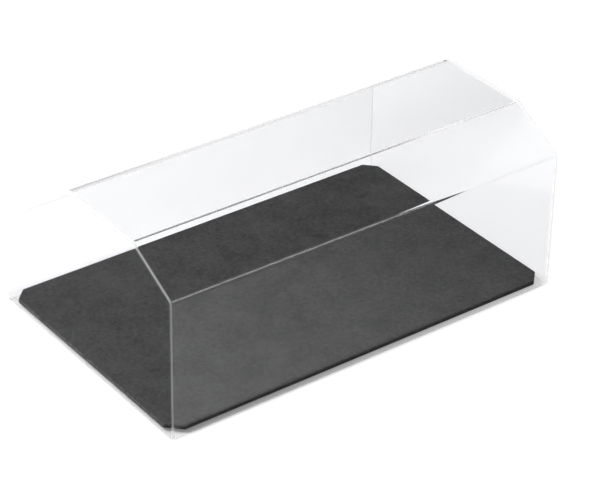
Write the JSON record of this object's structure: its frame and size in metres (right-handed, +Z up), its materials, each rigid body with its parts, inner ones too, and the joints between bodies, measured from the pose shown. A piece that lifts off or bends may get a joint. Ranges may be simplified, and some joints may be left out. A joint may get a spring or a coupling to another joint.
{
  "type": "display case",
  "caption": "Clear display case: a bent-sheet cover with upright front, bevel, flat top, sloping back, upright back wall and flat end panels, lifting off a low black base board.",
  "frame": {"origin": "on the table, in the middle of the case's footprint", "axes": "+X along the length of the case, -Y out of the upright front wall, +Z up"},
  "size_m": [0.33, 0.209, 0.132],
  "materials": {
    "clear_sheet": "polished clear",
    "clear_panel": "polished clear",
    "black_board": "matt black painted fibreboard",
    "pad_rubber": "matt"
  },
  "bodies": {
    "base": {"base_board": "black_board", "foot_pad_front_left": "pad_rubber", "foot_pad_back_left": "pad_rubber", "foot_pad_front_right": "pad_rubber", "foot_pad_back_right": "pad_rubber"},
    "cover": {"cover_sheet": "clear_sheet", "left_end_panel": "clear_panel", "right_end_panel": "clear_panel"}
  },
  "joints": [
    {"name": "cover_lift", "type": "slide", "parent": "base", "child": "cover", "axis": [0, 0, 1], "range_m": [0, 0.15]}
  ]
}
